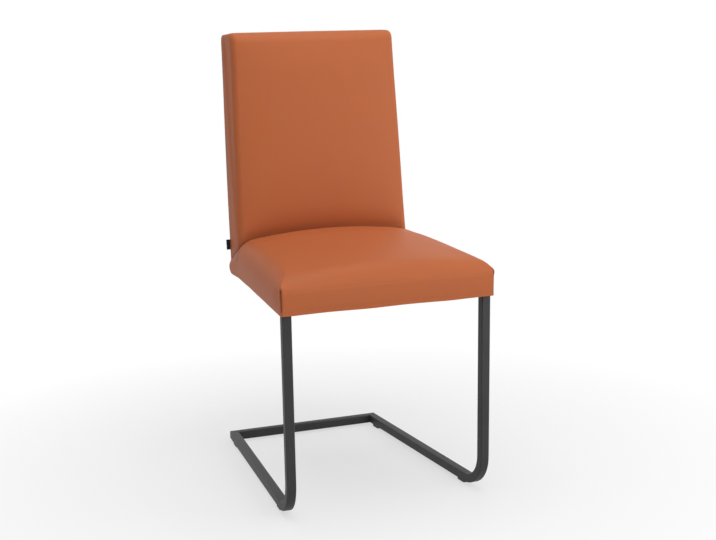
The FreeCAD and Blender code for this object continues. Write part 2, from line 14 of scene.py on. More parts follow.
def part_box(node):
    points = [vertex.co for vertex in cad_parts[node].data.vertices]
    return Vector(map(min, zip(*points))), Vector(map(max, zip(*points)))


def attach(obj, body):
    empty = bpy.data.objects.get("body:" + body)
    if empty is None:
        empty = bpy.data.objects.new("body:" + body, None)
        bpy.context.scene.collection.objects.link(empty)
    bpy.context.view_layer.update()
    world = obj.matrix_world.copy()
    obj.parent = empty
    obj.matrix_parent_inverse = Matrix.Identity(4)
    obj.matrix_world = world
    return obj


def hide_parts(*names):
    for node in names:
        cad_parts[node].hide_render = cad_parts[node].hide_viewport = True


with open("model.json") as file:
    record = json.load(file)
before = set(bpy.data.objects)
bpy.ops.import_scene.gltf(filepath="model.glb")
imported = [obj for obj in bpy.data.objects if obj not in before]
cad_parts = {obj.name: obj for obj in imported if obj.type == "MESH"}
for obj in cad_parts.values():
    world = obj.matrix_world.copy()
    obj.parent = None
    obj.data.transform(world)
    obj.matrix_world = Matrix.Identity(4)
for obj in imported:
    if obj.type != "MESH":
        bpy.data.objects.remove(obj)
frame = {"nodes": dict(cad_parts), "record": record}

log = logging.getLogger("cantilever_chair")

MM = 0.001
WHITE = (1.0, 1.0, 1.0, 1.0)
Array = np.ndarray


class Slot(Enum):
    """Material slots of the chair, by what they are made of."""

    LEATHER = "tan_leather"
    STEEL = "powder_coated_steel"
    GLIDE = "glide_plastic"
    DUST_CLOTH = "dust_cloth"
    TAPE = "black_textile"
    ZINC = "zinc_plated_steel"
    BEECH = "beech"
    PLYWOOD = "birch_plywood"
    HARDBOARD = "hardboard"
    WEBBING = "elastic_webbing"


def linear(hex_colour: str) -> tuple[float, float, float, float]:
    """Turn an sRGB hex colour into linear RGBA.

    Args:
        hex_colour: colour such as "#B5602F".

    Returns:
        Linear red, green, blue and an alpha of 1.
    """
    channels = [int(hex_colour[i:i + 2], 16) / 255 for i in (1, 3, 5)]
    lin = [c / 12.92 if c <= 0.04045 else ((c + 0.055) / 1.055) ** 2.4 for c in channels]
    return (lin[0], lin[1], lin[2], 1.0)


class Nodes:
    """Nodes of one material or world."""

    def __init__(self, tree: bpy.types.NodeTree) -> None:
        """Start from an empty tree."""
        self.tree = tree
        self.tree.nodes.clear()

    def add(self, kind: str, inputs: dict | None = None, **settings: str) -> bpy.types.Node:
        """Add a node with its settings and links.

        Args:
            kind: type of node, without the word ShaderNode, such as TexNoise.
            inputs: a constant or the socket of another node, by the input's name or number.
            settings: the node's own properties, such as operation.

        Returns:
            The new node.
        """
        node = self.tree.nodes.new("ShaderNode" + kind)
        for key, value in settings.items():
            setattr(node, key, value)
        for key, value in (inputs or {}).items():
            if isinstance(value, bpy.types.NodeSocket):
                self.tree.links.new(value, node.inputs[key])
            else:
                node.inputs[key].default_value = value
        return node


def new_material(name: str) -> tuple[bpy.types.Material, Nodes]:
    """Make an empty material.

    Args:
        name: what the material is.

    Returns:
        The material and its nodes.
    """
    material = bpy.data.materials.new(name)
    material.use_nodes = True
    return material, Nodes(material.node_tree)


@dataclass(frozen=True)
class LeatherFinish:
    """Corrected-grain cowhide, pigmented and waxed: even tan with a broad soft sheen.

    Seen close, it has flat pebbles with pores between them, and seen from afar a faint cloud.
    A vertex attribute darkens it along its seams, with painted shade beside them and where the
    cushions meet.
    """

    colour: str = "#B76439"
    cooler: str = "#B5633B"
    # dark seam colour, also used for the painted shade beside seams and where the cushions meet
    seam_and_shade: str = "#4A1B0C"
    roughness: float = 0.54
    ior: float = 1.4
    specular: float = 0.26
    cloud_size: float = 40 * MM
    pebble_size: float = 1.3 * MM
    pebble_height: float = 0.045 * MM
    pebble_edge: float = 0.3
    pore_size: float = 0.45 * MM
    pore_height: float = 0.02 * MM

    def build(self) -> bpy.types.Material:
        """Make the leather.

        Returns:
            The material.
        """
        material, nodes = new_material("corrected_grain_tan_leather")
        place = nodes.add("TexCoord").outputs["Object"]
        noise = nodes.add("TexNoise", {"Vector": place, "Scale": 1 / self.cloud_size,
                                       "Detail": 3.0})
        cloud = nodes.add("MapRange", {"Value": noise.outputs["Fac"], "From Min": 0.3,
                                       "From Max": 0.7})
        dye = nodes.add("Mix", {0: cloud.outputs["Result"], 6: linear(self.colour),
                                7: linear(self.cooler)}, data_type="RGBA")
        # darkness of the seams and of the painted shade, read from the vertex attribute
        fold = nodes.add("Attribute", attribute_name="seam_and_shade")
        seamed_and_shaded = nodes.add("Mix", {0: fold.outputs["Fac"], 6: dye.outputs[2],
                                 7: linear(self.seam_and_shade)}, data_type="RGBA")
        cells = nodes.add("TexVoronoi", {"Vector": place, "Scale": 1 / self.pebble_size},
                          feature="DISTANCE_TO_EDGE")
        pebbles = nodes.add("MapRange", {"Value": cells.outputs["Distance"],
                                         "From Max": self.pebble_edge})
        coarse = nodes.add("Bump", {"Height": pebbles.outputs["Result"],
                                    "Distance": self.pebble_height})
        pores = nodes.add("TexNoise", {"Vector": place, "Scale": 1 / self.pore_size})
        fine = nodes.add("Bump", {"Height": pores.outputs["Fac"], "Distance": self.pore_height,
                                  "Normal": coarse.outputs["Normal"]})
        shader = nodes.add("BsdfPrincipled", {"Base Color": seamed_and_shaded.outputs[2],
                                              "Normal": fine.outputs["Normal"],
                                              "Roughness": self.roughness, "IOR": self.ior,
                                              "Specular IOR Level": self.specular})
        nodes.add("OutputMaterial", {"Surface": shader.outputs["BSDF"]})
        return material


@dataclass(frozen=True)
class PowderCoatFinish:
    """Baked anthracite powder coat on steel: satin, with a faint orange peel."""

    colour: str = "#28282A"
    worn: str = "#2D2D2F"
    roughness: float = 0.54
    ior: float = 1.5
    specular: float = 0.35
    cloud_size: float = 60 * MM
    peel_size: float = 1.6 * MM
    peel_height: float = 0.03 * MM

    def build(self) -> bpy.types.Material:
        """Make the powder coat.

        Returns:
            The material.
        """
        material, nodes = new_material("anthracite_powder_coat")
        place = nodes.add("TexCoord").outputs["Object"]
        noise = nodes.add("TexNoise", {"Vector": place, "Scale": 1 / self.cloud_size,
                                       "Detail": 4.0})
        cloud = nodes.add("MapRange", {"Value": noise.outputs["Fac"], "From Min": 0.35,
                                       "From Max": 0.65})
        coat = nodes.add("Mix", {0: cloud.outputs["Result"], 6: linear(self.colour),
                                 7: linear(self.worn)}, data_type="RGBA")
        peel = nodes.add("TexNoise", {"Vector": place, "Scale": 1 / self.peel_size})
        bump = nodes.add("Bump", {"Height": peel.outputs["Fac"], "Distance": self.peel_height})
        shader = nodes.add("BsdfPrincipled", {"Base Color": coat.outputs[2],
                                              "Normal": bump.outputs["Normal"],
                                              "Roughness": self.roughness, "IOR": self.ior,
                                              "Specular IOR Level": self.specular})
        nodes.add("OutputMaterial", {"Surface": shader.outputs["BSDF"]})
        return material


@dataclass(frozen=True)
class GrainFinish:
    """A hard finish with a grain or cloud of two near colours and a fine texture."""

    name: str
    colour: str
    second: str
    roughness: float
    size: float
    texture: float
    stretch: tuple[float, float, float] = (1.0, 1.0, 1.0)
    metallic: float = 0.0

    def build(self) -> bpy.types.Material:
        """Make the finish.

        Returns:
            The material.
        """
        material, nodes = new_material(self.name)
        place = nodes.add("TexCoord").outputs["Object"]
        along = nodes.add("Mapping", {"Vector": place, "Scale": self.stretch})
        noise = nodes.add("TexNoise", {"Vector": along.outputs["Vector"],
                                       "Scale": 1 / self.size, "Detail": 4.0})
        grain = nodes.add("MapRange", {"Value": noise.outputs["Fac"], "From Min": 0.35,
                                       "From Max": 0.65})
        colour = nodes.add("Mix", {0: grain.outputs["Result"], 6: linear(self.colour),
                                   7: linear(self.second)}, data_type="RGBA")
        bump = nodes.add("Bump", {"Height": grain.outputs["Result"], "Distance": self.texture})
        shader = nodes.add("BsdfPrincipled", {"Base Color": colour.outputs[2],
                                              "Normal": bump.outputs["Normal"],
                                              "Roughness": self.roughness,
                                              "Metallic": self.metallic})
        nodes.add("OutputMaterial", {"Surface": shader.outputs["BSDF"]})
        return material


@dataclass(frozen=True)
class WovenFinish:
    """Woven or spun cloth: matt, with the dimples between its threads, darker at their bottoms as
    painted shade.
    """

    name: str
    colour: str
    second: str
    thread: float
    height: float
    roughness: float = 0.95

    def build(self) -> bpy.types.Material:
        """Make the cloth.

        Returns:
            The material.
        """
        material, nodes = new_material(self.name)
        place = nodes.add("TexCoord").outputs["Object"]
        cells = nodes.add("TexVoronoi", {"Vector": place, "Scale": 1 / self.thread})
        dimples = cells.outputs["Distance"]
        # darker towards the bottoms of the dimples: painted shade in them
        colour = nodes.add("Mix", {0: dimples, 6: linear(self.colour), 7: linear(self.second)},
                           data_type="RGBA")
        bump = nodes.add("Bump", {"Height": dimples, "Distance": self.height})
        shader = nodes.add("BsdfPrincipled", {"Base Color": colour.outputs[2],
                                              "Normal": bump.outputs["Normal"],
                                              "Roughness": self.roughness})
        nodes.add("OutputMaterial", {"Surface": shader.outputs["BSDF"]})
        return material


# What each slot is, and what that gives the eye
FINISHES = {
    Slot.LEATHER: LeatherFinish(),
    Slot.STEEL: PowderCoatFinish(),
    # Injection-moulded polypropylene: matt charcoal with a spark-eroded texture
    Slot.GLIDE: GrainFinish("moulded_polypropylene", "#29292C", "#313134", 0.6, 1.0 * MM,
                            0.02 * MM),
    # Spun-bonded polypropylene: black, matt, dimpled
    Slot.DUST_CLOTH: WovenFinish("spun_bonded_cloth", "#131315", "#1E1E20", 1.5 * MM, 0.15 * MM),
    # Woven polyester tape: black with a fine rib
    Slot.TAPE: WovenFinish("woven_polyester_tape", "#101012", "#1C1C1E", 0.7 * MM, 0.1 * MM),
    # Bright zinc plate: pale metal, slightly cloudy
    Slot.ZINC: GrainFinish("zinc_plate", "#B4B8BC", "#9EA3A8", 0.35, 4 * MM, 0.01 * MM,
                           metallic=1.0),
    # Planed beech: short reddish-brown flecks along X
    Slot.BEECH: GrainFinish("planed_beech", "#C89A6C", "#B58557", 0.7, 4 * MM, 0.05 * MM,
                            (0.15, 1.0, 1.0)),
    # Birch plywood: pale, with a long grain along Y
    Slot.PLYWOOD: GrainFinish("birch_plywood", "#D8BE94", "#CBAE82", 0.7, 5 * MM, 0.05 * MM,
                              (1.0, 0.1, 1.0)),
    # Hardboard: brown pressed fibres, smooth face
    Slot.HARDBOARD: GrainFinish("hardboard", "#7A5638", "#6B4A2F", 0.6, 3 * MM, 0.03 * MM),
    # Elastic webbing: grey-brown ribs
    Slot.WEBBING: WovenFinish("elastic_webbing", "#4C433B", "#63584E", 2.0 * MM, 0.3 * MM),
}


def curve(x: Array, stations: list[tuple[float, float]]) -> Array:
    """Smooth curve through stations.

    Args:
        x: where to read the curve.
        stations: (place, value) pairs in rising order.

    Returns:
        The curve's value at each x.
    """
    places, values = (np.array(column) for column in zip(*stations))
    steps = np.diff(places)
    slopes = np.diff(values) / steps
    tangents = np.empty(len(places))
    weights = steps[1:] + steps[:-1]
    tangents[1:-1] = (slopes[:-1] * steps[1:] + slopes[1:] * steps[:-1]) / weights
    tangents[[0, -1]] = slopes[[0, -1]]
    x = np.clip(x, places[0], places[-1])
    k = np.clip(np.searchsorted(places, x) - 1, 0, len(steps) - 1)
    t = (x - places[k]) / steps[k]
    rise = t * t * (3 - 2 * t)
    leave = t * (1 - t) ** 2 * steps[k] * tangents[k]
    arrive = -t * t * (1 - t) * steps[k] * tangents[k + 1]
    return values[k] + (values[k + 1] - values[k]) * rise + leave + arrive


def smooth_max(first: Array, second: Array, radius: float) -> Array:
    """Larger of two distances, blended so that the edge between them is round."""
    share = np.clip(0.5 + (first - second) / (2 * radius), 0, 1)
    return second + (first - second) * share + radius * share * (1 - share)


def bell(distance: Array, width: float) -> Array:
    """Bell of height 1 that falls to nothing two or three widths away."""
    return np.exp(-(distance / width) ** 2)


def section_distance(across: Array, up: Array, half: Array, rise: Array, corner: Array) -> Array:
    """Signed distance from a cushion's section: upright sides, round corners and a crown.

    Args:
        across: distance from the middle line.
        up: height above the line where the corners start.
        half: half width.
        rise: height of the crown above that line.
        corner: radius of the corners.

    Returns:
        Distances, positive outside.
    """
    crown = (half ** 2 + rise ** 2 - 2 * half * corner) / (2 * (rise - corner))
    from_centre = up - (rise - crown)
    turn = np.arctan2(half - corner, crown - rise)
    over = np.hypot(across, from_centre) - crown
    round_corner = np.hypot(across - (half - corner), up) - corner
    dome = np.where(np.arctan2(across, from_centre) < turn, over, round_corner)
    return np.where(up > 0, dome, across - half)


def section_height(across: Array, half: Array, rise: Array, corner: Array) -> Array:
    """Height of a cushion's section above the line where its corners start.

    Args:
        across: distance from the middle line, held inside the half width.
        half: half width.
        rise: height of the crown above that line.
        corner: radius of the corners.

    Returns:
        Heights, 0 at the sides.
    """
    across = np.minimum(across, half)
    crown = (half ** 2 + rise ** 2 - 2 * half * corner) / (2 * (rise - corner))
    joint = crown * np.sin(np.arctan2(half - corner, crown - rise))
    over = rise - crown + np.sqrt(np.maximum(crown ** 2 - across ** 2, 0))
    round_corner = np.sqrt(np.maximum(corner ** 2 - (across - (half - corner)) ** 2, 0))
    return np.where(across < joint, over, round_corner)


def box_shell(cells: int, low: Array, high: Array, crowding: float
              ) -> tuple[bmesh.types.BMesh, Array]:
    """Closed box of quads whose rows crowd towards the box's edges.

    Args:
        cells: number of quads along each edge.
        low: lowest corner in millimetres.
        high: highest corner.
        crowding: near 0 for even rows, towards 1 for rows crowded at the edges.

    Returns:
        The bmesh and its vertex places as an N by 3 array.
    """
    bm = bmesh.new()
    bmesh.ops.create_cube(bm, size=2.0)
    bmesh.ops.subdivide_edges(bm, edges=bm.edges, cuts=cells - 1, use_grid_fill=True)
    places = np.array([v.co for v in bm.verts])
    reach = crowding * math.pi / 2
    places = np.sin(places * reach) / math.sin(reach)
    return bm, low + (places + 1) / 2 * (high - low)


def places_of(obj: bpy.types.Object) -> Array:
    """Read the vertex places of a piece's mesh.

    Args:
        obj: the piece.

    Returns:
        N by 3 places in metres.
    """
    places = np.empty(len(obj.data.vertices) * 3, np.float32)
    obj.data.vertices.foreach_get("co", places)
    return places.reshape(-1, 3).astype(float)


def evened(obj: bpy.types.Object, values: Array, rounds: int) -> Array:
    """Average vertex values with their neighbours.

    Args:
        obj: the piece.
        values: a row of values for each vertex.
        rounds: how many times they are averaged.

    Returns:
        The evened values.
    """
    ends = np.empty(len(obj.data.edges) * 2, np.int32)
    obj.data.edges.foreach_get("vertices", ends)
    first, second = ends.reshape(-1, 2).T
    count = np.bincount(ends, minlength=len(values))[:, None] + 1
    for _ in range(rounds):
        total = values.copy()
        for axis in range(values.shape[1]):
            total[:, axis] += np.bincount(first, values[second, axis], len(values))
            total[:, axis] += np.bincount(second, values[first, axis], len(values))
        values = total / count
    return values


def smoothed_to_size(obj: bpy.types.Object, rounds: int = 2) -> None:
    """Add one level of smoothing that keeps the piece's vertices where they are.

    Args:
        obj: the piece.
        rounds: how many times its mesh is corrected for what the smoothing shrinks.
    """
    wanted = places_of(obj)
    smoother = obj.modifiers.new("smooth_leather", "SUBSURF")
    smoother.levels = smoother.render_levels = 1
    for _ in range(rounds):
        smooth = obj.evaluated_get(bpy.context.evaluated_depsgraph_get())
        shrunk = wanted - places_of(smooth)[:len(wanted)]
        moved = places_of(obj) + shrunk
        obj.data.vertices.foreach_set("co", moved.astype(np.float32).ravel())
        obj.data.update()


def fill_out(obj: bpy.types.Object, held: Array, cap: float, pressure: float = 4.0,
             frames: int = 20, evening: int = 14) -> float:
    """Blow a cover out over its filling by a short cloth simulation, and keep the result.

    Args:
        obj: closed cover, a little smaller than it will be.
        held: how firmly each vertex is held by a hem or seam, 0 to 1.
        cap: furthest that a vertex may move, in metres.
        pressure: pressure of the filling.
        frames: length of the simulation.
        evening: rounds of averaging that keep the move free of ripples.

    Returns:
        Mean move in metres.
    """
    start = places_of(obj)
    group = obj.vertex_groups.new(name="held")
    for index in np.flatnonzero(held > 0.01):
        group.add([int(index)], float(held[index]), "REPLACE")
    cloth = obj.modifiers.new("filling", "CLOTH")
    cloth.settings.quality = 5
    cloth.settings.use_pressure = True
    cloth.settings.uniform_pressure_force = pressure
    cloth.settings.effector_weights.gravity = 0.0
    cloth.settings.vertex_group_mass = group.name
    cloth.point_cache.frame_end = frames
    for number in range(1, frames + 1):
        bpy.context.scene.frame_set(number)
    swollen = obj.evaluated_get(bpy.context.evaluated_depsgraph_get())
    move = places_of(swollen) - start
    obj.modifiers.remove(cloth)
    obj.vertex_groups.remove(group)
    bpy.context.scene.frame_set(1)
    length = np.linalg.norm(move, axis=1)
    move *= np.minimum(1, cap / np.maximum(length, 1e-9))[:, None]
    move = evened(obj, move, evening) * (1 - held)[:, None]
    obj.data.vertices.foreach_set("co", (start + move).astype(np.float32).ravel())
    return float(np.linalg.norm(move, axis=1).mean())


@dataclass
class Chair:
    """Sizes that several pieces share, in millimetres, and the finishes by slot.

    X runs across, Y starts at the front corners of the legs and runs to the rear, Z is up.
    """

    tube: float = 19.0
    tube_corner: float = 2.5
    bend_radius: float = 75.0
    glide_height: float = 5.0
    frame_front_half: float = 221.0
    frame_rear_half: float = 183.0
    frame_length: float = 557.0
    finishes: dict[Slot, bpy.types.Material] = field(default_factory=dict)

    @property
    def depth_centre(self) -> float:
        """Y of the scene's origin, from the rear face of the floor bar."""
        return self.frame_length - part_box("rear_floor_bar")[1][1] / MM

    @property
    def taper(self) -> float:
        """Angle of the sides in plan."""
        return math.atan2(self.frame_front_half - self.frame_rear_half, self.frame_length)

    def to_scene(self, points: Array) -> Array:
        """Turn chair millimetres into scene metres.

        Args:
            points: points, or one point, in chair millimetres.

        Returns:
            The same in metres, with Y from the scene's origin.
        """
        moved = np.array(points, float)
        moved[..., 1] -= self.depth_centre
        return moved * MM

    def from_scene(self, points: Array) -> Array:
        """Turn scene metres into chair millimetres.

        Args:
            points: points in metres.

        Returns:
            The same in chair millimetres.
        """
        moved = np.array(points, float) / MM
        moved[..., 1] += self.depth_centre
        return moved

    def piece(self, name: str, bm: bmesh.types.BMesh, slot: Slot, smooth: bool = True
              ) -> bpy.types.Object:
        """Make a piece that rides on the chair, with the finish of its slot.

        Args:
            name: name of the piece.
            bm: its mesh in metres, freed here.
            slot: what it is made of.
            smooth: shade its faces smooth.

        Returns:
            The new object.
        """
        bmesh.ops.recalc_face_normals(bm, faces=bm.faces)
        for face in bm.faces:
            face.smooth = smooth
        mesh = bpy.data.meshes.new(name)
        bm.to_mesh(mesh)
        bm.free()
        mesh.materials.append(self.finishes[slot])
        obj = bpy.data.objects.new(name, mesh)
        bpy.context.scene.collection.objects.link(obj)
        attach(obj, "root")
        log.info("%s: %d faces", name, len(mesh.polygons))
        return obj

    def dress(self) -> None:
        """Make the finishes and give each of the frame's nodes its own."""
        for slot, finish in FINISHES.items():
            self.finishes[slot] = finish.build()
        by_name = {slot.value: slot for slot in Slot}
        for part in frame["record"]["subparts"]:
            slot = by_name.get(part["material_slot"])
            if slot is None:
                continue
            materials = frame["nodes"][part["node"]].data.materials
            materials.clear()
            materials.append(self.finishes[slot])
            log.info("%s: %s", part["node"], slot.value)


@dataclass
class SteelFrame:
    """The cantilever frame that shows: two bent side tubes and the floor bar."""

    chair: Chair
    corner_segments: int = 5
    bend_segments: int = 40
    leg_top: float = 440.0

    def section(self, bm: bmesh.types.BMesh) -> list[bmesh.types.BMEdge]:
        """Outline of the square tube round the origin, in the plane of X and Y.

        Args:
            bm: mesh that the outline is added to.

        Returns:
            The outline's edges.
        """
        half = self.chair.tube * MM / 2
        grid = bmesh.ops.create_grid(bm, x_segments=1, y_segments=1, size=half)
        bmesh.ops.bevel(bm, geom=grid["verts"], offset=self.chair.tube_corner * MM,
                        offset_type="OFFSET", affect="VERTICES", profile=0.5, material=-1,
                        segments=self.corner_segments, clamp_overlap=True)
        bmesh.ops.delete(bm, geom=list(bm.faces), context="FACES_ONLY")
        return list(bm.edges)

    def extend(self, bm: bmesh.types.BMesh, edges: list, run: Vector) -> list:
        """Carry an outline along a straight run.

        Args:
            bm: the tube's mesh.
            edges: the outline at the run's start.
            run: the way to its end.

        Returns:
            The outline at the end.
        """
        grown = bmesh.ops.extrude_edge_only(bm, edges=edges)["geom"]
        verts = [item for item in grown if isinstance(item, bmesh.types.BMVert)]
        bmesh.ops.translate(bm, verts=verts, vec=run)
        return [item for item in grown if isinstance(item, bmesh.types.BMEdge)]

    def cut(self, bm: bmesh.types.BMesh, point: tuple, normal: tuple) -> None:
        """Cut the tube at a plane, drop what lies on the normal's side and close the end.

        Args:
            bm: the tube's mesh.
            point: a point of the plane, in metres.
            normal: the plane's normal.
        """
        geometry = list(bm.verts) + list(bm.edges) + list(bm.faces)
        cut = bmesh.ops.bisect_plane(bm, geom=geometry, plane_co=point, plane_no=normal,
                                     clear_outer=True)["geom_cut"]
        rim = [item for item in cut if isinstance(item, bmesh.types.BMEdge)]
        bmesh.ops.edgeloop_fill(bm, edges=rim)

    def mitre(self) -> tuple[tuple, tuple]:
        """Find the plane of the rear right mitre.

        Returns:
            A point of the plane in chair millimetres, and its normal.
        """
        chair = self.chair
        turn = chair.taper
        outer = Vector((chair.frame_rear_half, chair.frame_length, 0))
        inner_y = chair.frame_length - chair.tube
        inward = chair.tube / math.cos(turn) - chair.tube * math.tan(turn)
        inner = Vector((outer.x - inward, inner_y, 0))
        run = outer - inner
        return tuple(outer), (-run.y, run.x, 0)

    def side_tube(self) -> bmesh.types.BMesh:
        """Leg, front bend and runner of the right side, in scene metres.

        Returns:
            The mesh.
        """
        chair = self.chair
        middle = chair.tube / 2
        bm = bmesh.new()
        edges = self.section(bm)
        bmesh.ops.rotate(bm, verts=bm.verts, cent=(0, 0, 0),
                         matrix=Matrix.Rotation(math.pi, 3, "X"))
        foot = chair.glide_height + chair.bend_radius
        bmesh.ops.translate(bm, verts=bm.verts,
                            vec=Vector((middle, middle, self.leg_top)) * MM)
        edges = self.extend(bm, edges, Vector((0, 0, foot - self.leg_top)) * MM)
        spun = bmesh.ops.spin(bm, geom=edges, cent=Vector((chair.bend_radius, 0, foot)) * MM,
                              axis=(0, 1, 0), dvec=(0, 0, 0), angle=-math.pi / 2,
                              steps=self.bend_segments, use_merge=False,
                              use_normal_flip=False, use_duplicate=False)["geom_last"]
        edges = [item for item in spun if isinstance(item, bmesh.types.BMEdge)]
        reach = chair.frame_length / math.cos(chair.taper) + chair.tube - chair.bend_radius
        self.extend(bm, edges, Vector((reach, 0, 0)) * MM)
        turn = Matrix.Rotation(math.pi / 2 + chair.taper, 4, "Z")
        place = Matrix.Translation(Vector((chair.frame_front_half, 0, 0)) * MM)
        bmesh.ops.transform(bm, matrix=place @ turn, verts=bm.verts)
        point, normal = self.mitre()
        self.cut(bm, Vector(point) * MM, normal)
        self.cut(bm, (0, 0, self.leg_top * MM - MM), (0, 0, 1))
        bmesh.ops.translate(bm, verts=bm.verts, vec=(0, -chair.depth_centre * MM, 0))
        return bm

    def floor_bar(self) -> bmesh.types.BMesh:
        """Rear floor bar, mitred at both ends, in scene metres.

        Returns:
            The mesh.
        """
        chair = self.chair
        middle = chair.tube / 2
        bm = bmesh.new()
        edges = self.section(bm)
        bmesh.ops.rotate(bm, verts=bm.verts, cent=(0, 0, 0),
                         matrix=Matrix.Rotation(math.pi / 2, 3, "Y"))
        start = Vector((-chair.frame_front_half, chair.frame_length - middle,
                        chair.glide_height + middle))
        bmesh.ops.translate(bm, verts=bm.verts, vec=start * MM)
        self.extend(bm, edges, Vector((2 * chair.frame_front_half, 0, 0)) * MM)
        point, normal = self.mitre()
        self.cut(bm, Vector(point) * MM, (-normal[0], -normal[1], 0))
        self.cut(bm, Vector((-point[0], point[1], 0)) * MM, (normal[0], -normal[1], 0))
        bmesh.ops.translate(bm, verts=bm.verts, vec=(0, -chair.depth_centre * MM, 0))
        return bm

    def finish(self, name: str, bm: bmesh.types.BMesh, node: str) -> None:
        """Make the piece that stands for a node, with flat faces and soft corners.

        Args:
            name: name of the piece.
            bm: its mesh in metres.
            node: the node that it replaces.
        """
        obj = self.chair.piece(name, bm, Slot.STEEL)
        weighted = obj.modifiers.new("flat_faces", "WEIGHTED_NORMAL")
        weighted.weight = 100
        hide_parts(node)

    def build(self) -> None:
        """Make the three tubes."""
        self.finish("right_bent_tube", self.side_tube(), "right_side_tube")
        left = self.side_tube()
        bmesh.ops.scale(left, verts=left.verts, vec=(-1, 1, 1))
        self.finish("left_bent_tube", left, "left_side_tube")
        self.finish("rear_floor_tube", self.floor_bar(), "rear_floor_bar")


def press_out(start: Array, core: Array, outside: Callable[[Array], Array],
              reach: float = 180.0, halvings: int = 26) -> Array:
    """Points where rays from a core through a box's points leave a body.

    Args:
        start: N by 3 points of the box.
        core: N by 3 points inside the body.
        outside: signed distance of points from the body's surface.
        reach: longest ray.
        halvings: steps of the search along each ray.

    Returns:
        N by 3 points on the surface.
    """
    towards = (start - core) / np.linalg.norm(start - core, axis=1)[:, None]
    near = np.zeros(len(start))
    far = np.full(len(start), reach)
    for _ in range(halvings):
        middle = (near + far) / 2
        out = outside(core + towards * middle[:, None]) > 0
        far = np.where(out, middle, far)
        near = np.where(out, near, middle)
    return core + towards * ((near + far) / 2)[:, None]


@dataclass
class Cushion:
    """Common part of the cushions: a cover pressed onto a form, filled out and sewn.

    A cushion's form is in its own axes, in millimetres. cells is the number of quads along
    each edge of the cover, crowding how much they gather at its edges, slack how much smaller
    than the form it is cut, and cap how far the filling may push it out. The shade level is
    the darkness of the painted shade beside seams and where the cushions meet.
    """

    chair: Chair
    cells: int = 64
    crowding: float = 0.93
    slack: float = -0.6
    cap: float = 1.6
    # darkness of the painted shade beside seams and where the cushions meet
    painted_shade_level: float = 0.3

    def to_chair(self, points: Array) -> Array:
        """Points of the cushion's own axes in chair millimetres."""
        return points

    def to_own(self, points: Array) -> Array:
        """Points in chair millimetres in the cushion's own axes."""
        return points

    def outside(self, p: Array) -> Array:
        """Signed distance from the form's surface."""
        raise NotImplementedError

    def held(self, p: Array) -> Array:
        """How firmly hem and seams hold the cover at each point, 0 to 1."""
        raise NotImplementedError

    def seam(self, p: Array) -> tuple[Array, Array]:
        """Depth in millimetres of the seams at each point, and darkness, 0 to 1, of the seams and
        the painted shade.
        """
        raise NotImplementedError

    def cover(self, name: str, low: Array, high: Array, core: tuple[tuple, tuple],
              shape: Callable[[Array], Array] | None = None) -> bpy.types.Object:
        """Make the leather cover.

        Args:
            name: name of the piece.
            low: lowest corner of a box round the form.
            high: highest corner.
            core: lowest and highest corners of a box inside the form.
            shape: moves the outer box's points before they are pressed on.

        Returns:
            The piece.
        """
        bm, start = box_shell(self.cells, low, high, self.crowding)
        if shape is not None:
            start = shape(start)
        points = press_out(start, np.clip(start, *core), lambda p: self.outside(p) + self.slack)
        obj = self.leather(name, bm, points)
        move = fill_out(obj, self.held(points), self.cap * MM)
        log.info("%s: filled out by %.2f mm", name, move / MM)
        self.sew(obj)
        smoothed_to_size(obj)
        return obj

    def leather(self, name: str, bm: bmesh.types.BMesh, points: Array) -> bpy.types.Object:
        """Make a piece of leather.

        Args:
            name: name of the piece.
            bm: its mesh.
            points: where its vertices go, in the cushion's own axes.

        Returns:
            The piece.
        """
        for vertex, place in zip(bm.verts, self.chair.to_scene(self.to_chair(points))):
            vertex.co = place
        return self.chair.piece(name, bm, Slot.LEATHER)

    def sew(self, obj: bpy.types.Object) -> None:
        """Draw the leather in, darken it along the seams and paint shade beside them and where
        the cushions meet.

        Args:
            obj: the cover.
        """
        places = places_of(obj)
        depth, dark = self.seam(self.to_own(self.chair.from_scene(places)))
        normals = np.empty(len(places) * 3, np.float32)
        obj.data.vertex_normals.foreach_get("vector", normals)
        places -= normals.reshape(-1, 3) * depth[:, None] * MM
        obj.data.vertices.foreach_set("co", places.astype(np.float32).ravel())
        self.darken(obj, dark)
        obj.data.update()

    def darken(self, obj: bpy.types.Object, dark: Array) -> None:
        """Write how dark the leather is at each vertex, 0 to 1, from its seams and the painted
        shade.
        """
        seam_and_shade = obj.data.attributes.new("seam_and_shade", "FLOAT", "POINT")
        seam_and_shade.data.foreach_set("value", dark.astype(np.float32))


